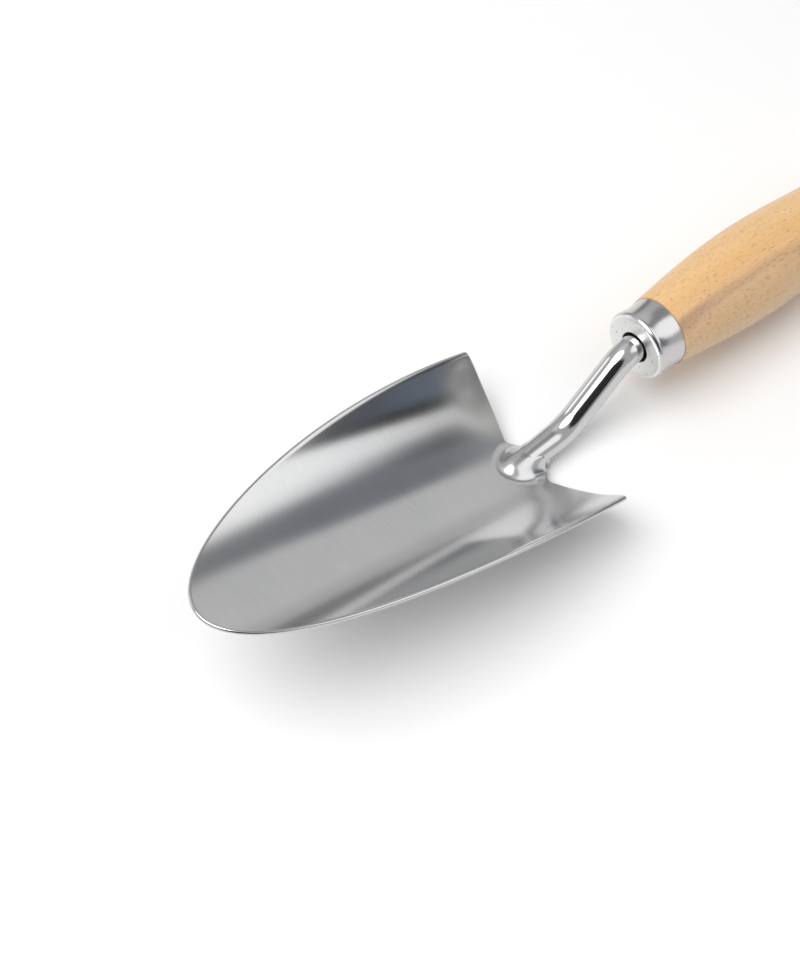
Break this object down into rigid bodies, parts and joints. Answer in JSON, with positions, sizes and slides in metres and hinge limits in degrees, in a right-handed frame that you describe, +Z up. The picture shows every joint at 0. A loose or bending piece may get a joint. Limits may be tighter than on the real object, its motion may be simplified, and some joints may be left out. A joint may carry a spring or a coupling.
{
  "type": "hand trowel",
  "caption": "Garden hand trowel: a pressed steel scoop welded to a swan-necked round rod, glued into a turned wooden handle behind a steel ferrule.",
  "frame": {"origin": "on the surface that the trowel lies on, below the centre of its bounding box", "axes": "+X from the handle's butt towards the blade's tip, +Z up out of the open scoop, +Y across the blade"},
  "size_m": [0.3104, 0.0772, 0.0553],
  "materials": {
    "blade_steel": "satin, fine brushed lines across the blade",
    "polished_steel": "polished bright",
    "ferrule_steel": "polished barrel with a satin face",
    "handle_wood": "light hardwood under satin lacquer",
    "adhesive": "cured epoxy"
  },
  "bodies": {
    "root": {"blade": "blade_steel", "shank": "polished_steel", "neck_weld": "blade_steel", "ferrule": "ferrule_steel", "handle": "handle_wood", "tang_adhesive": "adhesive"}
  },
  "joints": []
}
